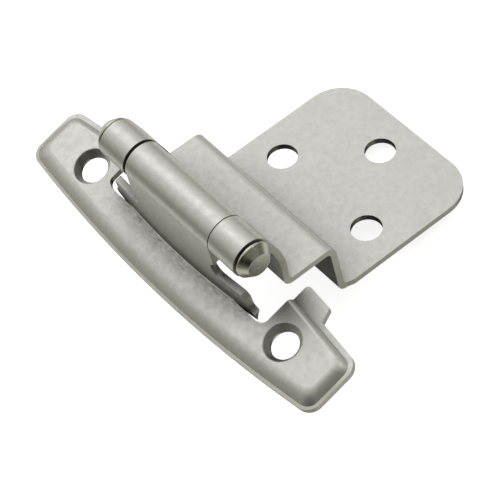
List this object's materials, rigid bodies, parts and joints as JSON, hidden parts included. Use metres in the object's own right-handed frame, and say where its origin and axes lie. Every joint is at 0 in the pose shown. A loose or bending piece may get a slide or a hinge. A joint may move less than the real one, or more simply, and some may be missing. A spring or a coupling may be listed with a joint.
{
  "type": "self-closing surface hinge",
  "caption": "Self-closing surface hinge for a lipped inset cabinet door: pressed lens-shaped frame leaf with a bowed flank and long barrel, stepped door leaf, and a headed pin.",
  "frame": {"origin": "midway between the two frame screws, on the mounting face of the frame leaf", "axes": "+Z out of the mounting face into the room, +Y along the pin, +X towards the door leaf"},
  "size_m": [0.045, 0.0654, 0.0339],
  "materials": {
    "satin_nickel": "satin nickel plate on pressed steel",
    "bright_nickel": "nickel plate on a turned and headed steel pin",
    "spring_steel": "oiled blue-grey spring steel"
  },
  "bodies": {
    "frame": {"frame_leaf": "satin_nickel", "closing_spring": "spring_steel"},
    "door": {"door_leaf": "satin_nickel", "hinge_pin": "bright_nickel"}
  },
  "joints": [
    {"name": "leaf_swing", "type": "hinge", "parent": "frame", "child": "door", "pos_m": [0.00487, 0, 0.01181], "axis": [0, -1, 0], "range_deg": [0, 196], "stiffness_Nm_per_rad": 0.05, "springref_deg": -22.92, "deforming": ["closing_spring"]}
  ]
}
